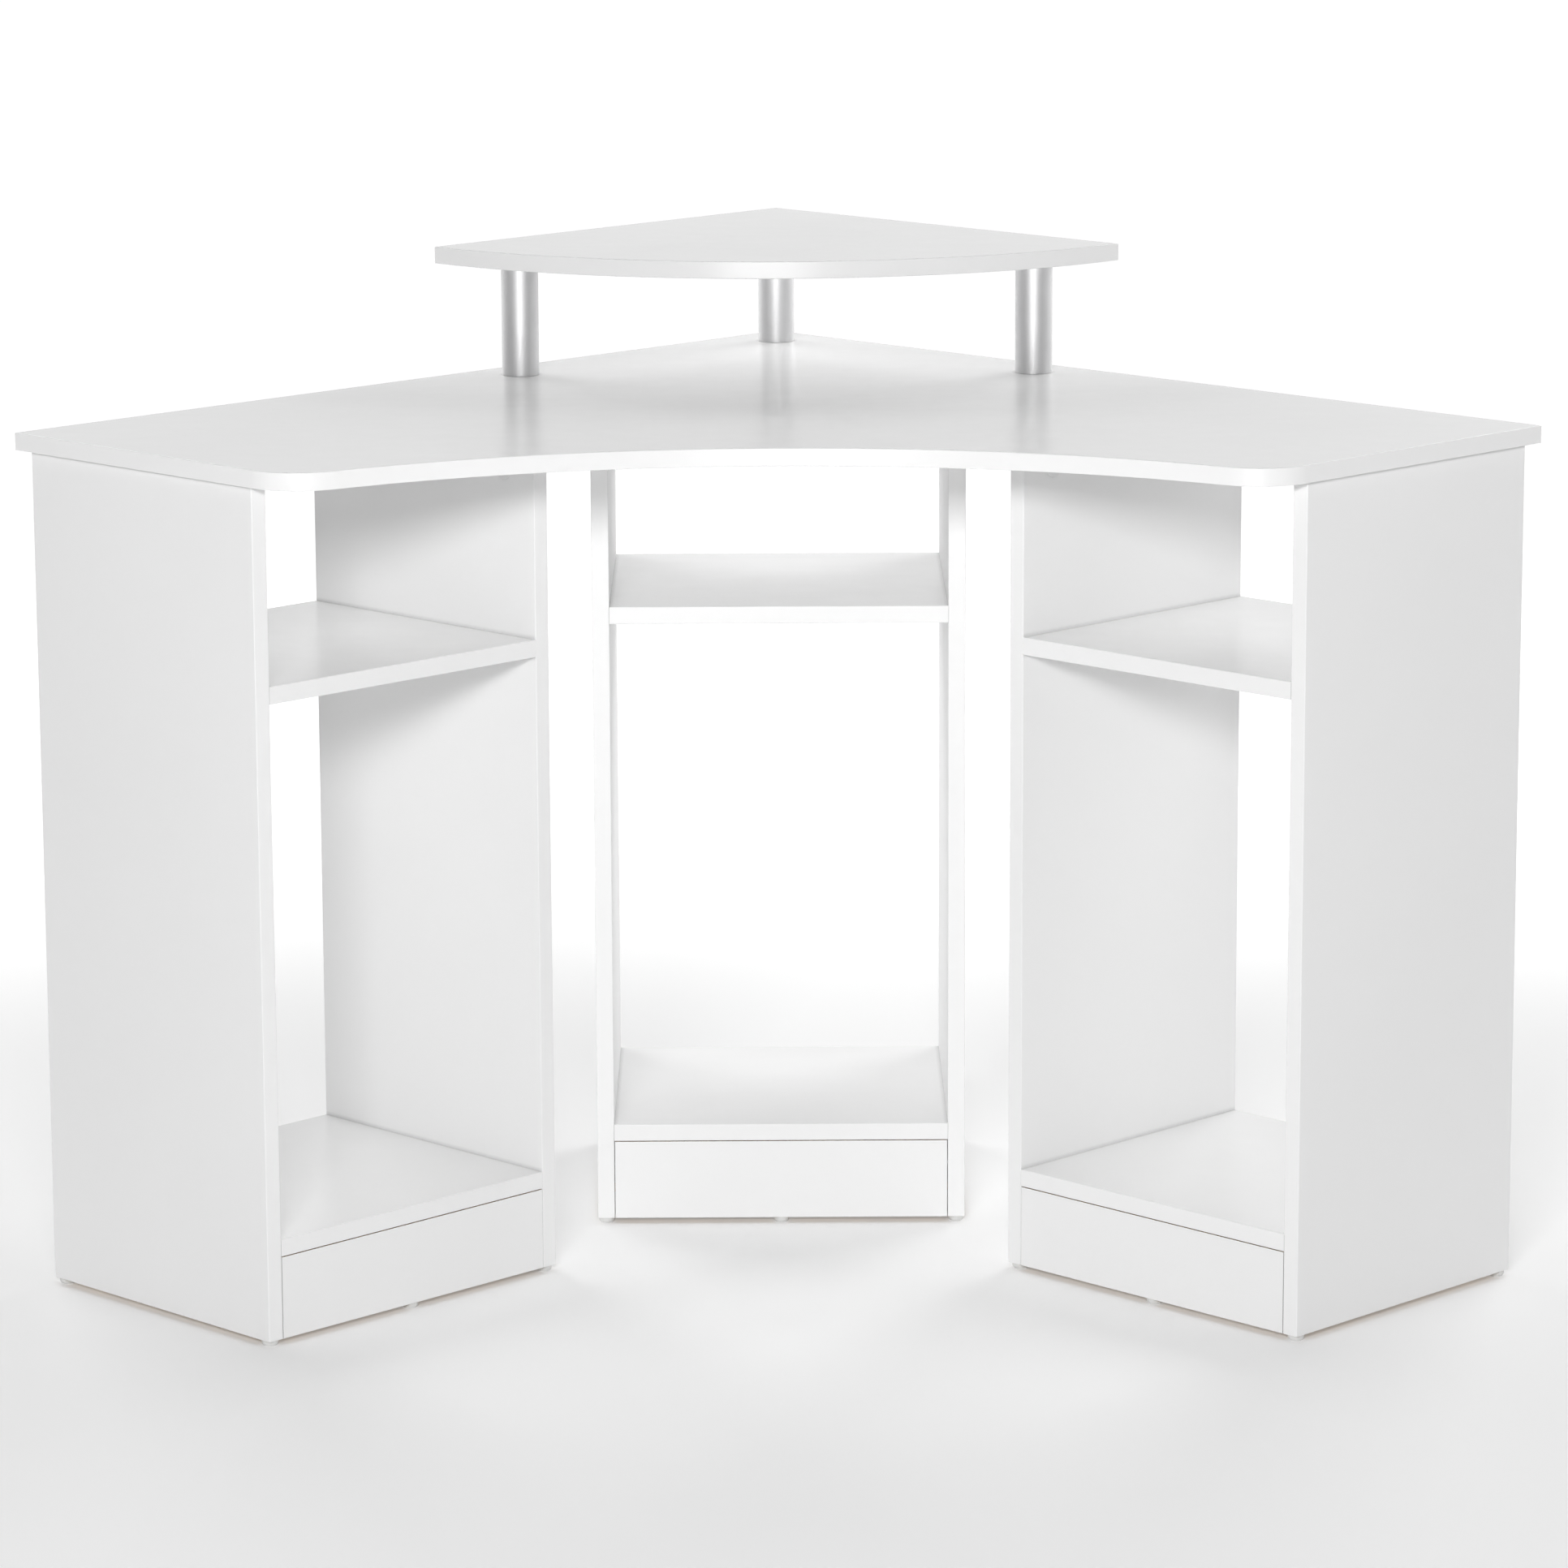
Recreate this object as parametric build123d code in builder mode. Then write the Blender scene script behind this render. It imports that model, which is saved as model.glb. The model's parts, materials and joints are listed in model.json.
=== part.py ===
from build123d import *
import math
import os

# A corner desk of 15 mm boards: a desktop with two wall sides, a quarter-round riser shelf on
# three tube posts, and three equal open pedestals (left, centre, right).
# Frame: +Z up, +X to the right of a person who sits at the desk, +Y towards the room corner.
# The origin is on the floor, under the middle of the desk's bounding box.

# ---- driving dimensions (mm) ----
BOARD = 15.0                 # thickness of every board
BAND = 1.0                   # thickness of the edge banding
ARRIS = 0.8                  # rounding of the banding's outer edges

WALL_SIDE = 900.0            # each wall side of the desktop
APEX_DEPTH = 745.0           # back corner to the middle of the curved front
FRONT_RADIUS = 620.0         # concave front curve
CORNER_RADIUS = 50.0         # rounded front corners

GLIDE_HEIGHT = 5.0
PANEL_HEIGHT = 713.0
POST_LENGTH = 100.0
RISER_RADIUS = 427.0         # quarter round about the desktop's back corner
POST_INSET = 47.0            # side posts' axes to the nearest wall side
POST_REACH = 369.0           # side posts, from the back corner along the wall
REAR_POST_INSET = 51.0       # rear post's axis to both wall sides
POST_RADIUS = 16.5
POST_WALL = 1.5

PEDESTAL_WIDTH = 324.0
PEDESTAL_DEPTH = 281.0
END_OVERHANG = 5.0           # desktop end beyond the outer panel
WALL_SETBACK = 15.0          # wall side to the rear of the side pedestals
CENTRE_FRONT = 467.0         # back corner to the front of the centre pedestal
PLINTH_HEIGHT = 70.0
SHELF_TOP = 548.0            # above the panels' lower ends
SEAM = 0.5                   # open joint round the plinth

FIXING_INSET = 37.0          # cam row to the front or rear of a board
PLINTH_CAM = 48.0            # cam above the plinth's lower edge
PLINTH_DOWEL = 26.0          # dowel above the plinth's lower edge, clear of the glides' nails
CAM_RADIUS = 7.4
CAM_POCKET_RADIUS = 7.5
CAM_SUNK = 0.1               # cam's head below the face of the board
CAM_HEIGHT = 12.2
CAM_POCKET_DEPTH = 12.5
CAM_REACH = 24.0             # cam axis to the joint face
CROSS_SPAN = 9.0             # screwdriver cross in a cam's head
CROSS_WIDTH = 1.8
CROSS_DEPTH = 2.6
BOLT_HEAD_HALF = 1.3         # cam bolt: half the length of its head, which sits in the cam
HEAD_RADIUS = 3.3
HEAD_BEVEL = 0.6
NECK_RADIUS = 2.0
NECK_END = 8.0               # cam axis to the end of the neck
SHANK_RADIUS = 3.4
BOLT_RADIUS = 2.5            # thread of a cam bolt
BOLT_THREAD = 11.0
JAW = 0.3                    # room between a cam's jaws and its bolt
DOWEL_RADIUS = 3.95
DOWEL_LENGTH = 30.0
DOWEL_IN_FACE = 10.0         # part of a dowel in the board it butts against
CAP_RADIUS = 8.5
CAP_HEIGHT = 1.0
CAP_EDGE = 0.8               # rounding of a cover cap
CAP_ROOM = 0.2               # room between a cap's cross and the cam's
CONE = 1.0                   # bevels and tapers on bolts, dowels, nails and studs
HOLE_END = 0.5               # room past the end of a fixing

GLIDE_RADIUS = 7.0
GLIDE_BULGE = 6.5            # radius half-way round the glide's rim
GLIDE_RIM = 1.2              # straight part of the rim, next to the board
GLIDE_FLAT = 5.5             # radius of the flat that meets the floor
GLIDE_INSET = 8.0            # glide axis to the panel's front or rear edge
NAIL_RADIUS = 1.0
NAIL_LENGTH = 15.0           # in the board
NAIL_HEAD_RADIUS = 2.5
NAIL_HEAD_FOOT = 1.5         # nail head's underside above the floor
NAIL_HEAD_HEIGHT = 1.0

POST_CHAMFER = 0.3
PLUG_LENGTH = 15.0           # threaded plug in each end of a post
BOLT_SHANK_RADIUS = 3.0      # post bolts and riser studs
BOLT_HOLE_RADIUS = 3.25
BOLT_HEAD_RADIUS = 6.0
BOLT_HEAD_HEIGHT = 3.6
BOLT_HEAD_ROUND = 1.5
SOCKET_ACROSS = 4.0          # hexagon socket in a post bolt
SOCKET_DEPTH = 2.2
WASHER_RADIUS = 9.0
WASHER_HEIGHT = 1.6
BOLT_INTO_PLUG = 12.0
STUD_INTO_RISER = 10.0
EASE = 0.05                  # radial room round pieces that sit in holes

# ---- derived heights and places ----
PANEL_FOOT = GLIDE_HEIGHT
DESK_UNDER = PANEL_FOOT + PANEL_HEIGHT
DESK_TOP = DESK_UNDER + BOARD
RISER_UNDER = DESK_TOP + POST_LENGTH
BOTTOM_UNDER = PANEL_FOOT + PLINTH_HEIGHT
SHELF_UNDER = PANEL_FOOT + SHELF_TOP - BOARD
BAY_WIDTH = PEDESTAL_WIDTH - 2 * BOARD
HALF = BOARD / 2
ROOT2 = math.sqrt(2)
CURVE_CENTRE = APEX_DEPTH + FRONT_RADIUS     # back corner to the centre of the front curve


def along_end(radius, from_wall):
    """Distance v from a wall at which a circle of this radius, its centre from_wall out along
    the other wall, touches the front curve."""
    p = ROOT2 * CURVE_CENTRE
    q = from_wall**2 - p * from_wall + CURVE_CENTRE**2 - (FRONT_RADIUS + radius) ** 2
    return (p - math.sqrt(p * p - 4 * q)) / 2


corner_out = WALL_SIDE - CORNER_RADIUS
corner_along = along_end(CORNER_RADIUS, corner_out)
DESK_DEPTH = (corner_out + corner_along) / ROOT2 + CORNER_RADIUS
BACK_Y = DESK_DEPTH / 2                      # the back corner's place on +Y
END_LENGTH = along_end(0, WALL_SIDE)         # end edge, up to where it would meet the curve


def wall_point(left, right):
    """Plan point that lies left out along the left wall and right out along the right wall."""
    return ((right - left) / ROOT2, BACK_Y - (left + right) / ROOT2)


def pedestal_plane(x, y, turn):
    """Plane on the floor at the middle of a pedestal's front: x to its right, y to its rear."""
    across = (math.cos(math.radians(turn)), math.sin(math.radians(turn)), 0)
    return Plane(origin=(x, y, 0), x_dir=across, z_dir=(0, 0, 1))


side_middle = WALL_SIDE - END_OVERHANG - PEDESTAL_WIDTH / 2
side_front = WALL_SETBACK + PEDESTAL_DEPTH
PEDESTALS = {
    "left": pedestal_plane(*wall_point(side_middle, side_front), 45),
    "centre": pedestal_plane(0, BACK_Y - CENTRE_FRONT, 0),
    "right": pedestal_plane(*wall_point(side_front, side_middle), -45),
}
PANEL_NAMES = {
    "left": ("left_outer_panel", "left_inner_panel"),
    "centre": ("centre_left_panel", "centre_right_panel"),
    "right": ("right_inner_panel", "right_outer_panel"),
}
POSTS = {
    "left_post": wall_point(POST_REACH, POST_INSET),
    "rear_post": wall_point(REAR_POST_INSET, REAR_POST_INSET),
    "right_post": wall_point(POST_INSET, POST_REACH),
}


def place(frame, point, outward, toward):
    """Plane at a point of a pedestal's frame, with its z outward and its x toward."""
    start = frame.from_local_coords((0, 0, 0))
    z_dir = frame.from_local_coords(outward) - start
    x_dir = frame.from_local_coords(toward) - start
    return Plane(origin=frame.from_local_coords(point), x_dir=x_dir, z_dir=z_dir)


# ---- joints: where cams and dowels sit ----
# A cam's plane lies on the face its head shows in: z out of the board, x towards the joint.
# A dowel's plane lies on the joint face: z out of the board whose edge holds the long part.
FRONT_ROW = FIXING_INSET
REAR_ROW = PEDESTAL_DEPTH - FIXING_INSET
MIDDLE = PEDESTAL_DEPTH / 2
LEFT, RIGHT, UP, DOWN, REARWARD = (-1, 0, 0), (1, 0, 0), (0, 0, 1), (0, 0, -1), (0, 1, 0)


def joints(frame):
    """Cams and dowels of one pedestal, as (board with the cam, board it pulls to, plane)."""
    cams = []
    dowels = []
    for panel, side, inward in (("left_panel", -1, RIGHT), ("right_panel", 1, LEFT)):
        outward = (side, 0, 0)
        face_x = side * BAY_WIDTH / 2
        for y in (FRONT_ROW, REAR_ROW):
            spot = (face_x, y, DESK_UNDER - CAM_REACH)
            cams.append((panel, "desktop", place(frame, spot, inward, UP)))
            for board, under in (("shelf", SHELF_UNDER), ("bottom", BOTTOM_UNDER)):
                spot = (face_x - side * CAM_REACH, y, under)
                cams.append((board, panel, place(frame, spot, DOWN, outward)))
        spot = (face_x - side * CAM_REACH, BOARD, PANEL_FOOT + PLINTH_CAM)
        cams.append(("plinth", panel, place(frame, spot, REARWARD, outward)))

        spot = (face_x + side * HALF, MIDDLE, DESK_UNDER)
        dowels.append((panel, "desktop", place(frame, spot, UP, RIGHT)))
        for board, under in (("shelf", SHELF_UNDER), ("bottom", BOTTOM_UNDER)):
            spot = (face_x, MIDDLE, under + HALF)
            dowels.append((board, panel, place(frame, spot, outward, UP)))
        spot = (face_x, HALF, PANEL_FOOT + PLINTH_DOWEL)
        dowels.append(("plinth", panel, place(frame, spot, outward, UP)))
    return cams, dowels


JOINTS = {side: joints(frame) for side, frame in PEDESTALS.items()}


def drill(board, cams, dowels):
    """Drill the open BuildPart for every cam, bolt and dowel that this board holds."""
    for holder, pulled, face in cams:
        joint = Plane(face.from_local_coords((CAM_REACH, 0, -HALF)), z_dir=face.x_dir)
        if board == holder:
            with Locations(face.location):
                Hole(CAM_POCKET_RADIUS, depth=CAM_POCKET_DEPTH)
            with Locations(joint.location):
                Hole(DOWEL_RADIUS + EASE, depth=CAM_REACH)
        if board == pulled:
            with Locations(Plane(joint.origin, z_dir=-joint.z_dir).location):
                Hole(BOLT_RADIUS + EASE, depth=BOLT_THREAD + HOLE_END)
    for holder, pulled, face in dowels:
        if board == holder:
            with Locations(face.location):
                Hole(DOWEL_RADIUS + EASE, depth=DOWEL_LENGTH - DOWEL_IN_FACE + HOLE_END)
        if board == pulled:
            with Locations(Plane(face.origin, z_dir=-face.z_dir).location):
                Hole(DOWEL_RADIUS + EASE, depth=DOWEL_IN_FACE + HOLE_END)


def save(piece, name):
    """Label one finished sub-part and write it to its own file."""
    piece.part.label = name
    export_step(piece.part, f"parts/{name}.step")


os.makedirs("parts", exist_ok=True)


# ---- desktop and riser: a core board with banding round its edge ----
def desk_outline():
    """Plan of the desktop: wall sides, straight ends, rounded corners, concave front."""
    left_end = wall_point(WALL_SIDE, END_LENGTH)
    right_end = wall_point(END_LENGTH, WALL_SIDE)
    with BuildSketch() as outline:
        with BuildLine():
            Polyline(
                left_end,
                wall_point(WALL_SIDE, 0),
                wall_point(0, 0),
                wall_point(0, WALL_SIDE),
                right_end,
            )
            ThreePointArc(right_end, (0, BACK_Y - APEX_DEPTH), left_end)
        make_face()
        fillet(outline.vertices().sort_by(Axis.Y)[:2], radius=CORNER_RADIUS)
    return outline.sketch


def riser_outline():
    """Plan of the riser: a quarter circle about the back corner."""
    left_tip = wall_point(RISER_RADIUS, 0)
    right_tip = wall_point(0, RISER_RADIUS)
    with BuildSketch() as outline:
        with BuildLine():
            Polyline(left_tip, wall_point(0, 0), right_tip)
            ThreePointArc(right_tip, (0, BACK_Y - RISER_RADIUS), left_tip)
        make_face()
    return outline.sketch


def wall_rectangle(left_from, left_to, right_from, right_to):
    """Plan rectangle given by its reach along the left wall and along the right wall."""
    with BuildSketch() as rectangle:
        with BuildLine():
            Polyline(
                wall_point(left_from, right_from),
                wall_point(left_to, right_from),
                wall_point(left_to, right_to),
                wall_point(left_from, right_to),
                close=True,
            )
        make_face()
    return rectangle.sketch


def banded_top(name, outline, under, length):
    """Core of a horizontal board, open for drilling by its caller, and its saved banding."""
    with BuildSketch() as inner:
        add(outline)
        offset(amount=-BAND, kind=Kind.INTERSECTION)
    with BuildPart() as block:
        with BuildSketch(Plane.XY.offset(under)):
            add(outline)
        extrude(amount=BOARD)
        rims = block.faces().sort_by(Axis.Z)
        fillet(rims[0].edges() + rims[-1].edges(), radius=ARRIS)
        with BuildSketch(Plane.XY.offset(under)):
            add(inner.sketch)
        extrude(amount=BOARD, mode=Mode.SUBTRACT)
    past = length + BAND
    with BuildPart() as front_band:
        add(block.part)
        with BuildSketch(Plane.XY.offset(under)):
            add(wall_rectangle(-BAND, past, -BAND, BAND))
            add(wall_rectangle(-BAND, BAND, BAND, past))
        extrude(amount=BOARD, mode=Mode.SUBTRACT)
    with BuildPart() as wall_bands:
        add(block.part)
        add(front_band.part, mode=Mode.SUBTRACT)
        with BuildSketch(Plane.XY.offset(under)):
            add(wall_rectangle(-BAND, 2 * BAND, BAND, BAND + EASE))
        extrude(amount=BOARD, mode=Mode.SUBTRACT)
    save(front_band, f"{name}_front_band")
    save(wall_bands, f"{name}_wall_bands")
    with BuildPart() as core:
        with BuildSketch(Plane.XY.offset(under)):
            add(inner.sketch)
        extrude(amount=BOARD)
    return core.part


with BuildPart() as desktop:
    add(banded_top("desktop", desk_outline(), DESK_UNDER, WALL_SIDE))
    for cams, dowels in JOINTS.values():
        drill("desktop", cams, dowels)
    with Locations([Location((x, y, DESK_TOP)) for x, y in POSTS.values()]):
        Hole(BOLT_HOLE_RADIUS, depth=BOARD)
save(desktop, "desktop")

with BuildPart() as riser:
    add(banded_top("riser", riser_outline(), RISER_UNDER, RISER_RADIUS))
    for x, y in POSTS.values():
        with Locations(Plane((x, y, RISER_UNDER), z_dir=(0, 0, -1)).location):
            Hole(BOLT_SHANK_RADIUS + EASE, depth=STUD_INTO_RISER + HOLE_END)
save(riser, "riser_shelf")


# ---- pedestals ----
def glide_spots(frame):
    """Plan planes under one pedestal, at the undersides that carry its glides."""
    panel_x = (PEDESTAL_WIDTH - BOARD) / 2
    spots = [(0, HALF)]
    for x in (-panel_x, panel_x):
        spots.append((x, GLIDE_INSET))
        spots.append((x, PEDESTAL_DEPTH - GLIDE_INSET))
    floor = []
    for x, y in spots:
        floor.append(place(frame, (x, y, PANEL_FOOT), DOWN, RIGHT))
    return floor


def nail_holes(frame):
    """Drill the open BuildPart for the glides' nails; holes clear of the board do nothing."""
    with Locations([spot.location for spot in glide_spots(frame)]):
        Hole(NAIL_RADIUS + EASE, depth=NAIL_LENGTH + HOLE_END)


def upright(frame, board, side, cams, dowels):
    """Side panel of a pedestal, without its banding."""
    with BuildPart() as core:
        with BuildSketch(frame.offset(PANEL_FOOT)):
            with Locations((side * (PEDESTAL_WIDTH - BOARD) / 2, MIDDLE)):
                Rectangle(BOARD, PEDESTAL_DEPTH - 2 * BAND)
        extrude(amount=PANEL_HEIGHT)
        drill(board, cams, dowels)
        nail_holes(frame)
    return core


def level(frame, board, under, cams, dowels):
    """Shelf or bottom shelf of a pedestal, without its banding."""
    with BuildPart() as core:
        with BuildSketch(frame.offset(under)):
            with Locations((0, MIDDLE)):
                Rectangle(BAY_WIDTH, PEDESTAL_DEPTH - 2 * BAND)
        extrude(amount=BOARD)
        drill(board, cams, dowels)
    return core


def plinth_board(frame, cams, dowels):
    """Plinth under the front of the bottom shelf."""
    with BuildPart() as core:
        with BuildSketch(frame.offset(PANEL_FOOT)):
            with Locations((0, HALF)):
                Rectangle(BAY_WIDTH - 2 * SEAM, BOARD)
        extrude(amount=PLINTH_HEIGHT - SEAM)
        drill("plinth", cams, dowels)
        nail_holes(frame)
    return core


def strip_profile():
    """Section of the banding, with its outer side on y = 0."""
    with BuildSketch() as section:
        with Locations((0, BAND / 2)):
            Rectangle(BOARD, BAND)
        fillet(section.vertices().group_by(Axis.Y)[0], radius=ARRIS)
    return section.sketch


def panel_bands(frame):
    """Front and rear banding of both side panels of a pedestal."""
    with BuildPart() as strips:
        for x in (-(PEDESTAL_WIDTH - BOARD) / 2, (PEDESTAL_WIDTH - BOARD) / 2):
            front = place(frame, (x, 0, PANEL_FOOT), UP, RIGHT)
            rear = place(frame, (x, PEDESTAL_DEPTH, PANEL_FOOT), UP, LEFT)
            for edge in (front, rear):
                with BuildSketch(edge):
                    add(strip_profile())
                extrude(amount=PANEL_HEIGHT)
    return strips


def shelf_bands(frame):
    """Front and rear banding of the shelf and the bottom shelf of a pedestal."""
    with BuildPart() as strips:
        for under in (SHELF_UNDER, BOTTOM_UNDER):
            height = under + HALF
            front = place(frame, (-BAY_WIDTH / 2, 0, height), RIGHT, DOWN)
            rear = place(frame, (BAY_WIDTH / 2, PEDESTAL_DEPTH, height), LEFT, DOWN)
            for edge in (front, rear):
                with BuildSketch(edge):
                    add(strip_profile())
                extrude(amount=BAY_WIDTH)
    return strips


for side, frame in PEDESTALS.items():
    cams, dowels = JOINTS[side]
    left_name, right_name = PANEL_NAMES[side]
    save(upright(frame, "left_panel", -1, cams, dowels), left_name)
    save(upright(frame, "right_panel", 1, cams, dowels), right_name)
    save(level(frame, "shelf", SHELF_UNDER, cams, dowels), f"{side}_shelf")
    save(level(frame, "bottom", BOTTOM_UNDER, cams, dowels), f"{side}_bottom_shelf")
    save(plinth_board(frame, cams, dowels), f"{side}_plinth")
    save(panel_bands(frame), f"{side}_panel_bands")
    save(shelf_bands(frame), f"{side}_shelf_bands")


# ---- joint hardware: one of each, then a copy at every joint ----
def copies(piece, planes, name):
    """Put one solid of a piece at every plane, and save them as one node."""
    with BuildPart() as group:
        with Locations([plane.location for plane in planes]):
            add(piece.part)
    save(group, name)


with BuildPart() as cam_lock:
    with BuildSketch(Plane.XY.offset(-CAM_SUNK)):
        Circle(CAM_RADIUS)
    extrude(amount=-CAM_HEIGHT)
    with BuildSketch():
        Rectangle(CROSS_SPAN, CROSS_WIDTH)
        Rectangle(CROSS_WIDTH, CROSS_SPAN)
    extrude(amount=-CROSS_DEPTH, mode=Mode.SUBTRACT)
    # hollow for the bolt's head, from the mouth on the -Y side to the middle
    with BuildSketch(Plane.XZ.offset(CAM_RADIUS)):
        with Locations((0, -HALF)):
            Circle(HEAD_RADIUS + JAW)
    extrude(amount=-CAM_RADIUS - HEAD_RADIUS - JAW, mode=Mode.SUBTRACT)
    # slot that lets the bolt's neck pass while the cam turns a quarter
    with BuildSketch(Plane.XY.offset(-HALF)):
        with Locations((CAM_RADIUS / 2, -CAM_RADIUS / 2)):
            Rectangle(CAM_RADIUS, CAM_RADIUS + 2 * (NECK_RADIUS + JAW))
    extrude(amount=NECK_RADIUS + JAW, both=True, mode=Mode.SUBTRACT)

with BuildPart() as cam_bolt:
    with BuildSketch(Plane.XZ):
        with BuildLine():
            Polyline(
                (-BOLT_HEAD_HALF, 0),
                (-BOLT_HEAD_HALF, HEAD_RADIUS - HEAD_BEVEL),
                (HEAD_BEVEL - BOLT_HEAD_HALF, HEAD_RADIUS),
                (BOLT_HEAD_HALF, HEAD_RADIUS),
                (BOLT_HEAD_HALF, NECK_RADIUS),
                (NECK_END, NECK_RADIUS),
                (NECK_END + CONE, SHANK_RADIUS),
                (CAM_REACH, SHANK_RADIUS),
                (CAM_REACH, BOLT_RADIUS),
                (CAM_REACH + BOLT_THREAD - CONE, BOLT_RADIUS),
                (CAM_REACH + BOLT_THREAD, BOLT_RADIUS - CONE),
                (CAM_REACH + BOLT_THREAD, 0),
                close=True,
            )
        make_face()
    revolve(axis=Axis.X)

with BuildPart() as dowel:
    with BuildSketch(Plane.XY.offset(DOWEL_IN_FACE - DOWEL_LENGTH)):
        Circle(DOWEL_RADIUS)
    extrude(amount=DOWEL_LENGTH)
    chamfer(dowel.edges(), length=CONE)

with BuildPart() as cap:
    with BuildSketch():
        Circle(CAP_RADIUS)
    extrude(amount=CAP_HEIGHT)
    fillet(cap.edges().sort_by(Axis.Z)[-1], radius=CAP_EDGE)
    with BuildSketch():
        Rectangle(CROSS_SPAN - 2 * CAP_ROOM, CROSS_WIDTH - CAP_ROOM)
        Rectangle(CROSS_WIDTH - CAP_ROOM, CROSS_SPAN - 2 * CAP_ROOM)
    extrude(amount=2 * CAP_ROOM - CROSS_DEPTH)

every_cam = [cam for cams, _ in JOINTS.values() for cam in cams]
every_dowel = [joint for _, dowels in JOINTS.values() for joint in dowels]
cam_faces = [face for _, _, face in every_cam]
bolt_planes = [face.offset(-HALF) for face in cam_faces]
bay_faces = [face for _, pulled, face in every_cam if pulled == "desktop"]
copies(cam_lock, cam_faces, "cam_locks")
copies(cam_bolt, bolt_planes, "cam_bolts")
copies(cap, bay_faces, "cam_cover_caps")
copies(dowel, [face for _, _, face in every_dowel], "wooden_dowels")

# ---- glides ----
with BuildPart() as glide:
    with BuildSketch(Plane.XZ):
        with BuildLine():
            rim = (GLIDE_RADIUS, GLIDE_RIM)
            flat = (GLIDE_FLAT, GLIDE_HEIGHT)
            Polyline((0, 0), (GLIDE_RADIUS, 0), rim)
            ThreePointArc(rim, (GLIDE_BULGE, GLIDE_HEIGHT - GLIDE_RIM), flat)
            Polyline(flat, (0, GLIDE_HEIGHT), (0, 0))
        make_face()
    revolve(axis=Axis.Z)
    with BuildSketch():
        Circle(NAIL_RADIUS + EASE)
    extrude(amount=GLIDE_HEIGHT - NAIL_HEAD_FOOT, mode=Mode.SUBTRACT)
    with BuildSketch(Plane.XY.offset(GLIDE_HEIGHT - NAIL_HEAD_FOOT + EASE)):
        Circle(NAIL_HEAD_RADIUS + EASE)
    extrude(amount=-NAIL_HEAD_HEIGHT - 2 * EASE, mode=Mode.SUBTRACT)

with BuildPart() as nail:
    with BuildSketch(Plane.XY.offset(GLIDE_HEIGHT - NAIL_HEAD_FOOT)):
        Circle(NAIL_HEAD_RADIUS)
    extrude(amount=-NAIL_HEAD_HEIGHT)
    with BuildSketch(Plane.XY.offset(GLIDE_HEIGHT - NAIL_HEAD_FOOT)):
        Circle(NAIL_RADIUS)
    extrude(amount=-GLIDE_HEIGHT + NAIL_HEAD_FOOT - NAIL_LENGTH)
    chamfer(nail.edges().sort_by(Axis.Z)[0], length=CONE / 2)

under_planes = [spot for frame in PEDESTALS.values() for spot in glide_spots(frame)]
copies(glide, under_planes, "floor_glides")
copies(nail, under_planes, "glide_nails")

# ---- posts ----
post_feet = [Plane((x, y, DESK_TOP)) for x, y in POSTS.values()]
for name, foot in zip(POSTS, post_feet):
    with BuildPart() as post:
        with BuildSketch(foot):
            Circle(POST_RADIUS)
            Circle(POST_RADIUS - POST_WALL, mode=Mode.SUBTRACT)
        extrude(amount=POST_LENGTH)
        outer_rims = post.edges().filter_by(GeomType.CIRCLE).sort_by(SortBy.RADIUS)[-2:]
        chamfer(outer_rims, length=POST_CHAMFER)
    save(post, name)

with BuildPart() as plug:
    with BuildSketch():
        Circle(POST_RADIUS - POST_WALL - EASE)
        Circle(BOLT_SHANK_RADIUS + EASE, mode=Mode.SUBTRACT)
    extrude(amount=PLUG_LENGTH)
copies(plug, post_feet, "post_bottom_plugs")
copies(plug, [foot.offset(POST_LENGTH - PLUG_LENGTH) for foot in post_feet], "post_top_plugs")

with BuildPart() as washer:
    with BuildSketch(Plane.XY.offset(-BOARD - WASHER_HEIGHT)):
        Circle(WASHER_RADIUS)
        Circle(BOLT_HOLE_RADIUS, mode=Mode.SUBTRACT)
    extrude(amount=WASHER_HEIGHT)
copies(washer, post_feet, "post_washers")

head_top = -BOARD - WASHER_HEIGHT
with BuildPart() as post_bolt:
    with BuildSketch(Plane.XY.offset(head_top - BOLT_HEAD_HEIGHT)):
        Circle(BOLT_HEAD_RADIUS)
    extrude(amount=BOLT_HEAD_HEIGHT)
    fillet(post_bolt.edges().sort_by(Axis.Z)[0], radius=BOLT_HEAD_ROUND)
    with BuildSketch(Plane.XY.offset(head_top - BOLT_HEAD_HEIGHT)):
        RegularPolygon(radius=SOCKET_ACROSS / 2, side_count=6, major_radius=False)
    extrude(amount=SOCKET_DEPTH, mode=Mode.SUBTRACT)
    with BuildSketch(Plane.XY.offset(head_top)):
        Circle(BOLT_SHANK_RADIUS)
    extrude(amount=BOLT_INTO_PLUG - head_top)
copies(post_bolt, post_feet, "post_bolts")

with BuildPart() as stud:
    with BuildSketch(Plane.XY.offset(POST_LENGTH - BOLT_INTO_PLUG)):
        Circle(BOLT_SHANK_RADIUS)
    extrude(amount=BOLT_INTO_PLUG + STUD_INTO_RISER)
    chamfer(stud.edges().filter_by(GeomType.CIRCLE), length=CONE)
copies(stud, post_feet, "riser_studs")
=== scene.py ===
import json
import math

import bpy
from mathutils import Matrix, Vector

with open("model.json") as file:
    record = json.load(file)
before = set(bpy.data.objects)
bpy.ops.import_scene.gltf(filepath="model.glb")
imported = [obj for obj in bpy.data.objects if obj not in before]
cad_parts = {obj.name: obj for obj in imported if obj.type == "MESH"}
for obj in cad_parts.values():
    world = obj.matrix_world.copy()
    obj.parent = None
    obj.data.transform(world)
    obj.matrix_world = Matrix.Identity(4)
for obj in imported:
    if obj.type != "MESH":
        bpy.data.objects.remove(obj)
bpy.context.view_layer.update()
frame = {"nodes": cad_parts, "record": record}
nodes = frame["nodes"]

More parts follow.
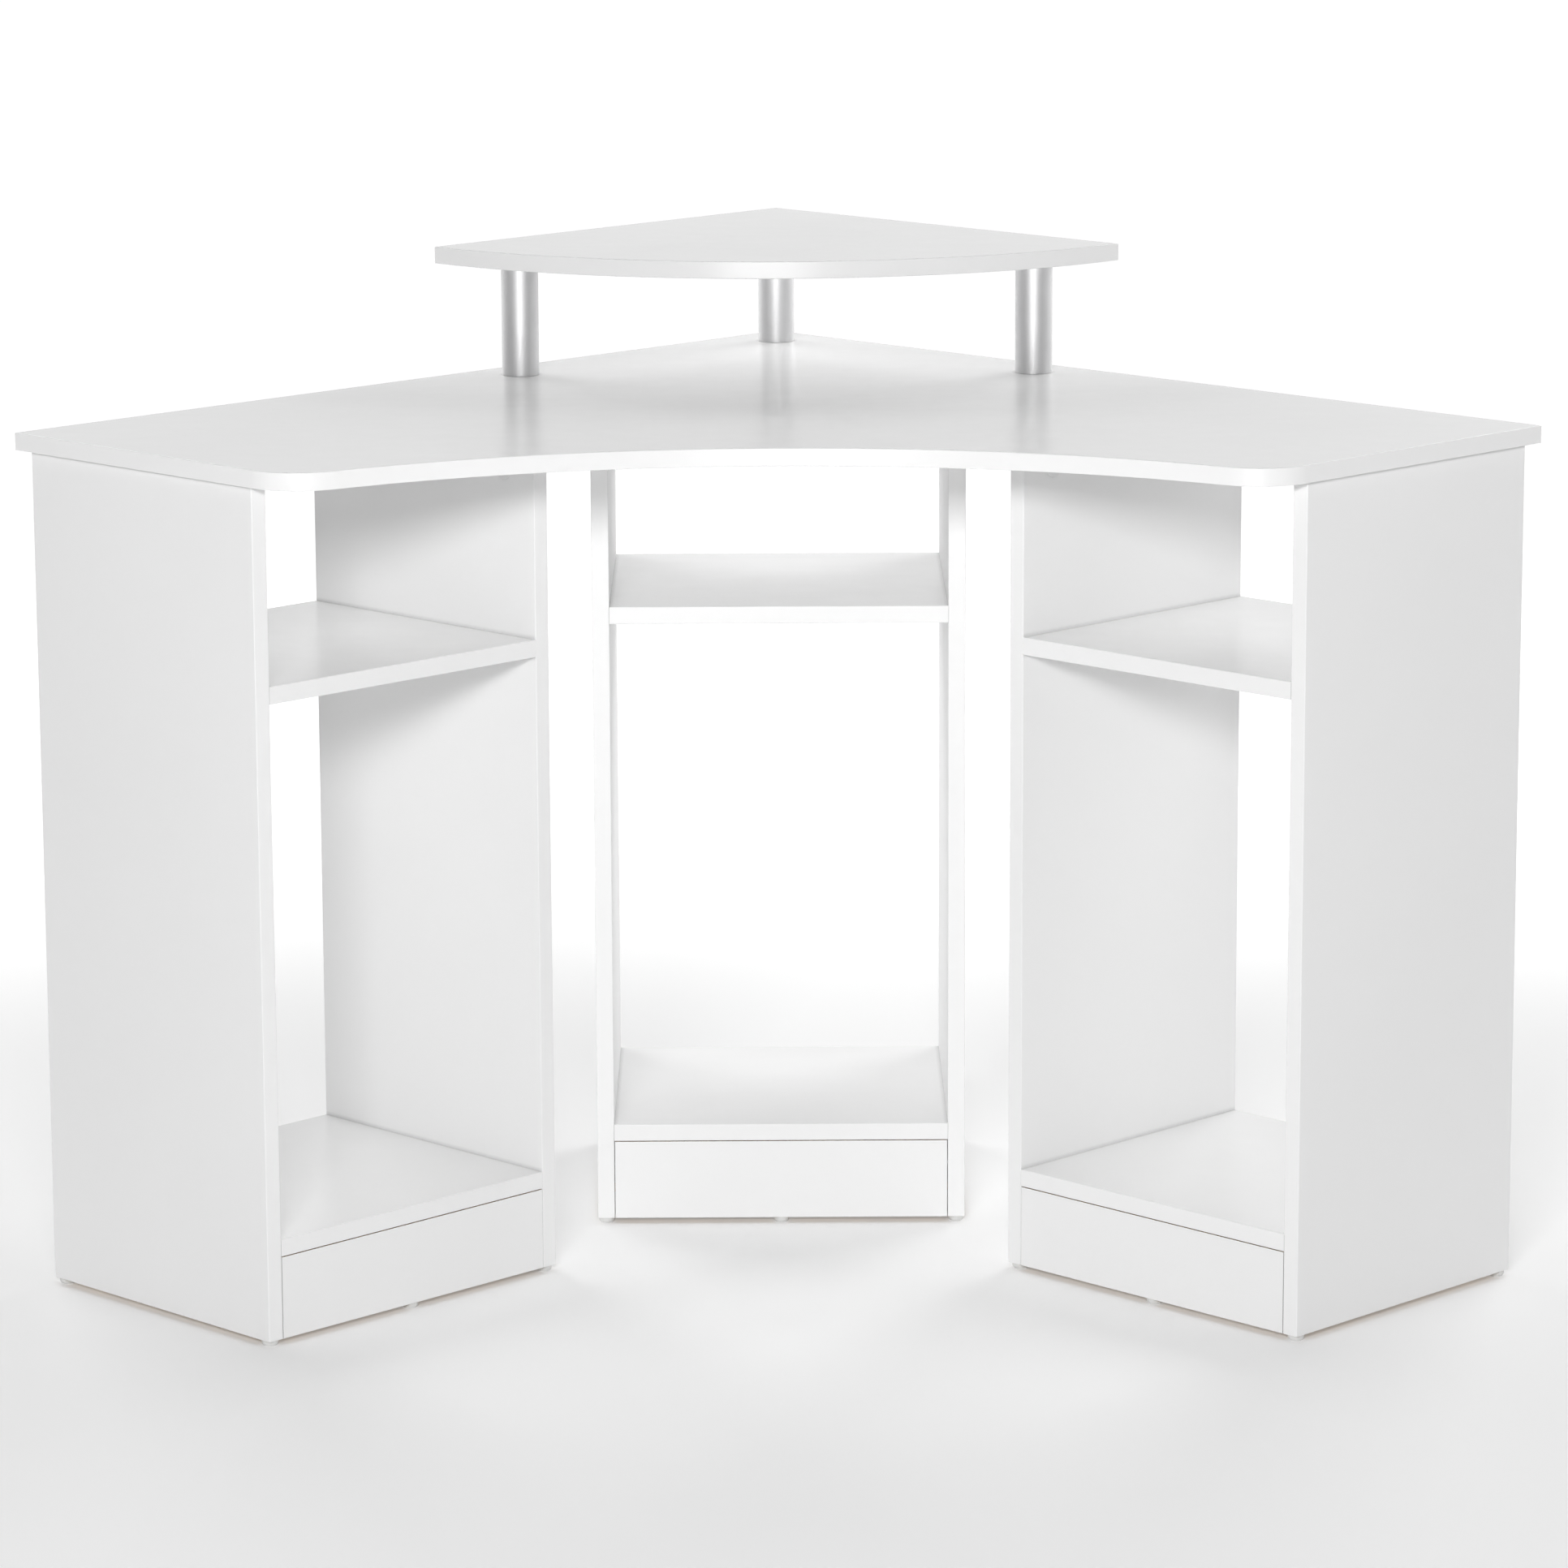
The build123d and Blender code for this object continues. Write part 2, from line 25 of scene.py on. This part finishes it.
# ---- camera: the photograph's place and direction, verticals pitched instead of shifted ----
IMAGE = 1932
FOCAL = 7593.9                               # pixels across an image of that width
SENSOR = 36.0                                # millimetres
FAR_CLIP = 200
CAMERA_AT = Vector((-0.0153, -5.2957, 1.4767))
YAW, PITCH, ROLL = 0.00365, 0.20257, -0.00417

reach_out = math.cos(PITCH)
forward = Vector((math.sin(YAW) * reach_out, math.cos(YAW) * reach_out, -math.sin(PITCH)))
level = Vector((math.cos(YAW), -math.sin(YAW), 0))
above = level.cross(forward)
right = level * math.cos(ROLL) + above * math.sin(ROLL)
up = right.cross(forward)
camera = bpy.data.objects.new("camera", bpy.data.cameras.new("camera"))
camera.data.sensor_width = SENSOR
camera.data.lens = FOCAL / IMAGE * SENSOR
camera.data.clip_end = FAR_CLIP
turn = Matrix((right, up, -forward)).transposed().to_4x4()
camera.matrix_world = Matrix.Translation(CAMERA_AT) @ turn
bpy.context.scene.collection.objects.link(camera)
bpy.context.scene.camera = camera
bpy.context.scene.view_settings.view_transform = "Standard"


# ---- node helpers ----
RANGE_SOCKETS = ("From Min", "From Max", "To Min", "To Max")


class Nodes:
    """A material's node tree, with short calls for the nodes used here."""

    def __init__(self, name):
        self.material = bpy.data.materials.new(name)
        self.material.use_nodes = True
        self.tree = self.material.node_tree
        self.shader = self.tree.nodes["Principled BSDF"]
        self.place = self.add("ShaderNodeTexCoord").outputs["Object"]
        self.geometry = self.add("ShaderNodeNewGeometry")

    def add(self, kind, **settings):
        node = self.tree.nodes.new(kind)
        for key, value in settings.items():
            setattr(node, key, value)
        return node

    def link(self, source, target):
        self.tree.links.new(source, target)

    def put(self, socket, value):
        if isinstance(value, bpy.types.NodeSocket):
            self.link(value, socket)
        else:
            socket.default_value = value

    def maths(self, operation, *values, clamp=False):
        node = self.add("ShaderNodeMath", operation=operation, use_clamp=clamp)
        for socket, value in zip(node.inputs, values):
            self.put(socket, value)
        return node.outputs[0]

    def stretched(self, scale):
        node = self.add("ShaderNodeMapping")
        self.link(self.place, node.inputs["Vector"])
        node.inputs["Scale"].default_value = scale
        return node.outputs[0]

    def noise(self, scale, detail=2.0, rough=0.5, vector=None):
        node = self.add("ShaderNodeTexNoise")
        self.link(vector or self.place, node.inputs["Vector"])
        node.inputs["Scale"].default_value = scale
        node.inputs["Detail"].default_value = detail
        node.inputs["Roughness"].default_value = rough
        return node.outputs["Fac"]

    def remap(self, value, *limits):
        node = self.add("ShaderNodeMapRange")
        self.put(node.inputs["Value"], value)
        for key, number in zip(RANGE_SOCKETS, limits):
            node.inputs[key].default_value = number
        return node.outputs[0]

    def spread(self, noise, low, high):
        """Turns a noise, which seldom leaves 0.3 to 0.7, into numbers from low to high."""
        return self.remap(noise, 0.3, 0.7, low, high)

    def blend(self, share, first, second):
        node = self.add("ShaderNodeMix", data_type="RGBA")
        self.put(node.inputs["Factor"], share)
        for socket, value in ((node.inputs["A"], first), (node.inputs["B"], second)):
            if isinstance(value, bpy.types.NodeSocket):
                self.link(value, socket)
            else:
                socket.default_value = (*value, 1)
        return node.outputs["Result"]

    def bump(self, height, distance):
        node = self.add("ShaderNodeBump")
        node.inputs["Strength"].default_value = 1.0
        node.inputs["Distance"].default_value = distance
        self.link(height, node.inputs["Height"])
        return node.outputs["Normal"]

    def surface(self, **values):
        for key, value in values.items():
            self.put(self.shader.inputs[key.replace("_", " ")], value)
        return self.material


def grey(value):
    return (value, value, value)


BOARD_TONE = 0.87                            # reflectance of the white faces
SHELF_ROUGH = 0.24                           # faces stay under 0.27, past which the denoiser blotches
UPRIGHT_ROUGH = 0.58                         # uprights are seen nearly edge on, and stay matt there
ROUGH_SWING = 0.025
PEARL_SCALE, PEARL_HEIGHT = 900.0, 0.03      # the height is in millimetres
BOARD_BUMP = 0.001                           # metres for a height of 1
CORE_ROUGH = 0.55                            # what cut chipboard adds to the roughness
# painted contact shade in the seams: how far it reaches, its dark colour and its strength
SEAM_REACH, SEAM_SHADE, SEAM_SHARE = 0.004, grey(0.10), 0.28


def melamine(n, tone, rough):
    """White melamine face: faint cloudiness, and a satin gloss that varies a little.

    The height is its pearl texture.
    """
    colour = n.blend(n.spread(n.noise(4.0), 0.0, 1.0), grey(tone - 0.008), grey(tone + 0.006))
    gloss = n.spread(n.noise(11.0, 3.0, 0.6), rough - ROUGH_SWING, rough + ROUGH_SWING)
    return colour, gloss, n.maths("MULTIPLY", n.noise(PEARL_SCALE, 1.0), PEARL_HEIGHT)


def chipboard(n):
    """Cut chipboard: pressed flakes of several browns. The height falls off to each one's rim."""
    flakes = n.add("ShaderNodeTexVoronoi")
    n.link(n.stretched((1.0, 1.0, 1.6)), flakes.inputs["Vector"])
    flakes.inputs["Scale"].default_value = 420.0
    split = n.add("ShaderNodeSeparateColor")
    n.link(flakes.outputs["Color"], split.inputs[0])
    colour = n.blend(split.outputs[0], (0.30, 0.20, 0.11), (0.64, 0.48, 0.30))
    return colour, n.maths("MULTIPLY", flakes.outputs["Distance"], -0.4)


def painted_seam_shade(n, colour):
    """Painted shade: darkens a colour in the last few millimetres before another piece, as contact
    shadow in the seams.
    """
    near = n.add("ShaderNodeAmbientOcclusion", samples=2)
    near.inputs["Distance"].default_value = SEAM_REACH
    share = n.remap(near.outputs["AO"], 0.45, 0.95, SEAM_SHARE, 0.0)
    return n.blend(share, colour, SEAM_SHADE)


def board(name, tone, rough, standing):
    """Melamine-faced chipboard whose cut ends show the core.

    They are the top and the bottom of a standing board, and the sides of a lying one.
    """
    n = Nodes(name)
    face, gloss, pearl = melamine(n, tone, rough)
    core, crumbs = chipboard(n)
    split = n.add("ShaderNodeSeparateXYZ")
    n.link(n.geometry.outputs["True Normal"], split.inputs[0])
    upward = n.maths("ABSOLUTE", split.outputs["Z"])
    cut = n.maths("GREATER_THAN" if standing else "LESS_THAN", upward, 0.5)
    height = n.maths("MULTIPLY_ADD", cut, crumbs, pearl)
    gloss = n.maths("MULTIPLY_ADD", cut, CORE_ROUGH, gloss)
    # the colour carries painted shade along the seams with other pieces
    colour = painted_seam_shade(n, n.blend(cut, face, core))
    return n.surface(Base_Color=colour, Roughness=gloss, Normal=n.bump(height, BOARD_BUMP))


def banding(name, tone):
    """Edge tape: the board's white and its skin, with arrises that a scraper left a little dull."""
    n = Nodes(name)
    face, gloss, pearl = melamine(n, tone, SHELF_ROUGH)
    rounded = n.add("ShaderNodeBevel", samples=2)
    rounded.inputs["Radius"].default_value = 0.0008
    turn = n.add("ShaderNodeVectorMath", operation="DOT_PRODUCT")
    n.link(rounded.outputs[0], turn.inputs[0])
    n.link(n.geometry.outputs["True Normal"], turn.inputs[1])
    edge = n.remap(turn.outputs["Value"], 0.80, 0.98, 1.0, 0.0)
    scraped = n.maths("MULTIPLY", edge, n.remap(n.noise(70.0), 0.35, 0.65, 0.2, 1.0))
    gloss = n.maths("MULTIPLY_ADD", scraped, 0.2, gloss)
    worn = n.maths("MULTIPLY", scraped, 0.3)
    # the colour carries painted shade along the seams with other pieces, on top of the scraped
    # arrises
    colour = painted_seam_shade(n, n.blend(worn, face, grey(tone - 0.04)))
    n.shader.inputs["Specular IOR Level"].default_value = 0.3
    return n.surface(Base_Color=colour, Roughness=gloss, Normal=n.bump(pearl, BOARD_BUMP))


def plastic(name, colour, rough):
    """Moulded plastic with a fine spark-eroded texture."""
    n = Nodes(name)
    shade = n.spread(n.noise(60.0, 3.0), 0.0, 1.0)
    tone = n.blend(shade, tuple(c * 0.94 for c in colour), colour)
    gloss = n.spread(n.noise(120.0, 2.0), rough - 0.06, rough + 0.06)
    normal = n.bump(n.noise(700.0, 2.0), 0.00005)
    return n.surface(Base_Color=tone, Roughness=gloss, Normal=normal)


def metal(name, colour, rough, lines=(1.0, 1.0, 1.0), scale=900.0, distance=0.00003):
    """Plated or brushed metal: fine lines along the long axis of the stretch."""
    n = Nodes(name)
    fine = n.noise(scale, 3.0, 0.7, n.stretched(lines))
    shade = n.spread(n.noise(25.0, 3.0), 0.0, 1.0)
    tone = n.blend(shade, tuple(c * 0.95 for c in colour), colour)
    gloss = n.spread(fine, rough - 0.06, rough + 0.06)
    n.shader.inputs["Metallic"].default_value = 1.0
    return n.surface(Base_Color=tone, Roughness=gloss, Normal=n.bump(fine, distance))


def beech(name):
    """Fluted beech dowels: straight grain with darker pores."""
    n = Nodes(name)
    grain = n.noise(300.0, 4.0, 0.6, n.stretched((1.0, 1.0, 0.15)))
    tone = n.blend(n.spread(grain, 0.0, 1.0), (0.50, 0.33, 0.19), (0.66, 0.47, 0.30))
    gloss = n.spread(grain, 0.55, 0.75)
    return n.surface(Base_Color=tone, Roughness=gloss, Normal=n.bump(grain, 0.0001))


standing_board = board("white_melamine_upright", BOARD_TONE, UPRIGHT_ROUGH, True)
lying_board = board("white_melamine_shelf", BOARD_TONE, SHELF_ROUGH, False)
materials = {
    "edge_banding": banding("white_edge_banding", BOARD_TONE + 0.01),
    "satin_steel_tube": metal(
        "satin_nickel_tube", (0.80, 0.80, 0.805), 0.52, (1.0, 1.0, 0.25), 1600.0, 0.00001
    ),
    "zinc_casting": metal(
        "zinc_casting", (0.50, 0.51, 0.53), 0.42, scale=500.0, distance=0.00008
    ),
    "plated_steel": metal("zinc_plated_steel", (0.66, 0.67, 0.70), 0.30),
    "white_plastic": plastic("white_cap_plastic", (0.83, 0.83, 0.83), 0.40),
    "glide_plastic": plastic("glide_plastic", (0.72, 0.72, 0.71), 0.34),
    "beech": beech("beech_dowel"),
    "black_plastic": plastic("black_plug_plastic", (0.03, 0.03, 0.03), 0.50),
}
for part in frame["record"]["subparts"]:
    name, slot = part["node"], part["material_slot"]
    upright = name.endswith("_panel") or name.endswith("_plinth")
    boards = standing_board if upright else lying_board
    nodes[name].data.materials.clear()
    nodes[name].data.materials.append(boards if slot == "white_board" else materials[slot])

# ---- floor: pale, and lit up behind the desk like a studio cove ----
FLOOR_HALF = 40.0
FLOOR_TONE, FLOOR_ROUGH = 0.82, 0.9
COVE_START, COVE_FULL = 0.5, 2.2             # metres behind the middle of the desk
NEAR_GLOW, COVE_GLOW = 0.15, 0.80            # emission strengths before and beyond those
floor_mesh = bpy.data.meshes.new("floor")
corners = [(-FLOOR_HALF, -FLOOR_HALF, 0), (FLOOR_HALF, -FLOOR_HALF, 0)]
corners += [(FLOOR_HALF, FLOOR_HALF, 0), (-FLOOR_HALF, FLOOR_HALF, 0)]
floor_mesh.from_pydata(corners, [], [(0, 1, 2, 3)])
floor = bpy.data.objects.new("floor", floor_mesh)
bpy.context.scene.collection.objects.link(floor)
n = Nodes("pale_floor")
reach = n.add("ShaderNodeSeparateXYZ")
n.link(n.geometry.outputs["Position"], reach.inputs[0])
glow = n.remap(reach.outputs["Y"], COVE_START, COVE_FULL, NEAR_GLOW, COVE_GLOW)
glow.node.interpolation_type = "SMOOTHSTEP"
n.surface(Base_Color=(*grey(FLOOR_TONE), 1), Roughness=FLOOR_ROUGH, Emission_Strength=glow)
n.shader.inputs["Emission Color"].default_value = (1, 1, 1, 1)
floor_mesh.materials.append(n.material)

# ---- light ----
AIM = Vector((0, -0.1, 0.5))


def softbox(name, azimuth, elevation, distance, width, height, power, diffuse=True, glossy=True):
    """Rectangular light that faces the middle of the desk.

    Azimuth 0 is in front and 90 on the right. Lengths are in metres and the power in watts.
    """
    a, e = math.radians(azimuth), math.radians(elevation)
    back = Vector((math.sin(a) * math.cos(e), -math.cos(a) * math.cos(e), math.sin(e)))
    light = bpy.data.lights.new(name, "AREA")
    light.shape = "RECTANGLE"
    light.size = width
    light.size_y = height
    light.energy = power
    holder = bpy.data.objects.new(name, light)
    holder.location = AIM + back * distance
    holder.rotation_euler = (-back).to_track_quat("-Z", "Y").to_euler()
    holder.visible_camera = False
    holder.visible_diffuse = diffuse
    holder.visible_glossy = glossy
    bpy.context.scene.collection.objects.link(holder)


# the key lights the faces; the low strip makes the tubes' highlights, with no glare on the top
softbox("key", -6, 18, 4.2, 1.2, 0.5, 96, glossy=False)
softbox("strip", -3, 4, 3.0, 1.3, 0.5, 34, diffuse=False)
softbox("rear_left", -140, 28, 3.0, 1.5, 1.5, 25)
softbox("rear_right", 140, 28, 3.0, 1.5, 1.5, 30)
softbox("side_right", 90, 25, 2.5, 1.5, 1.5, 6)
softbox("top", 0, 85, 2.6, 2.0, 2.0, 7)

# the studio round the desk: bright behind, dimmer at the sides and in front, dark overhead
world = bpy.data.worlds.new("studio")
bpy.context.scene.world = world
world.use_nodes = True
sky = world.node_tree


def sky_node(kind, **settings):
    node = sky.nodes.new(kind)
    for key, value in settings.items():
        setattr(node, key, value)
    return node


direction = sky_node("ShaderNodeSeparateXYZ")
sky.links.new(sky_node("ShaderNodeTexCoord").outputs["Generated"], direction.inputs[0])
depth = sky_node("ShaderNodeMapRange")
overhead = sky_node("ShaderNodeMapRange", interpolation_type="SMOOTHSTEP")
DEPTH_RAMP = (-0.40, 1.0, 0.24, 0.93)        # brightness from the front to the back
OVERHEAD_RAMP = (0.55, 0.90, 1.0, 0.0)       # and its share from part way up to overhead
for ramp, axis, limits in ((depth, "Y", DEPTH_RAMP), (overhead, "Z", OVERHEAD_RAMP)):
    sky.links.new(direction.outputs[axis], ramp.inputs["Value"])
    for key, number in zip(RANGE_SOCKETS, limits):
        ramp.inputs[key].default_value = number
strength = sky_node("ShaderNodeMath", operation="MULTIPLY")
for socket, ramp in zip(strength.inputs, (depth, overhead)):
    sky.links.new(ramp.outputs[0], socket)
sky.links.new(strength.outputs[0], sky.nodes["Background"].inputs["Strength"])
sky.nodes["Background"].inputs["Color"].default_value = (1, 1, 1, 1)
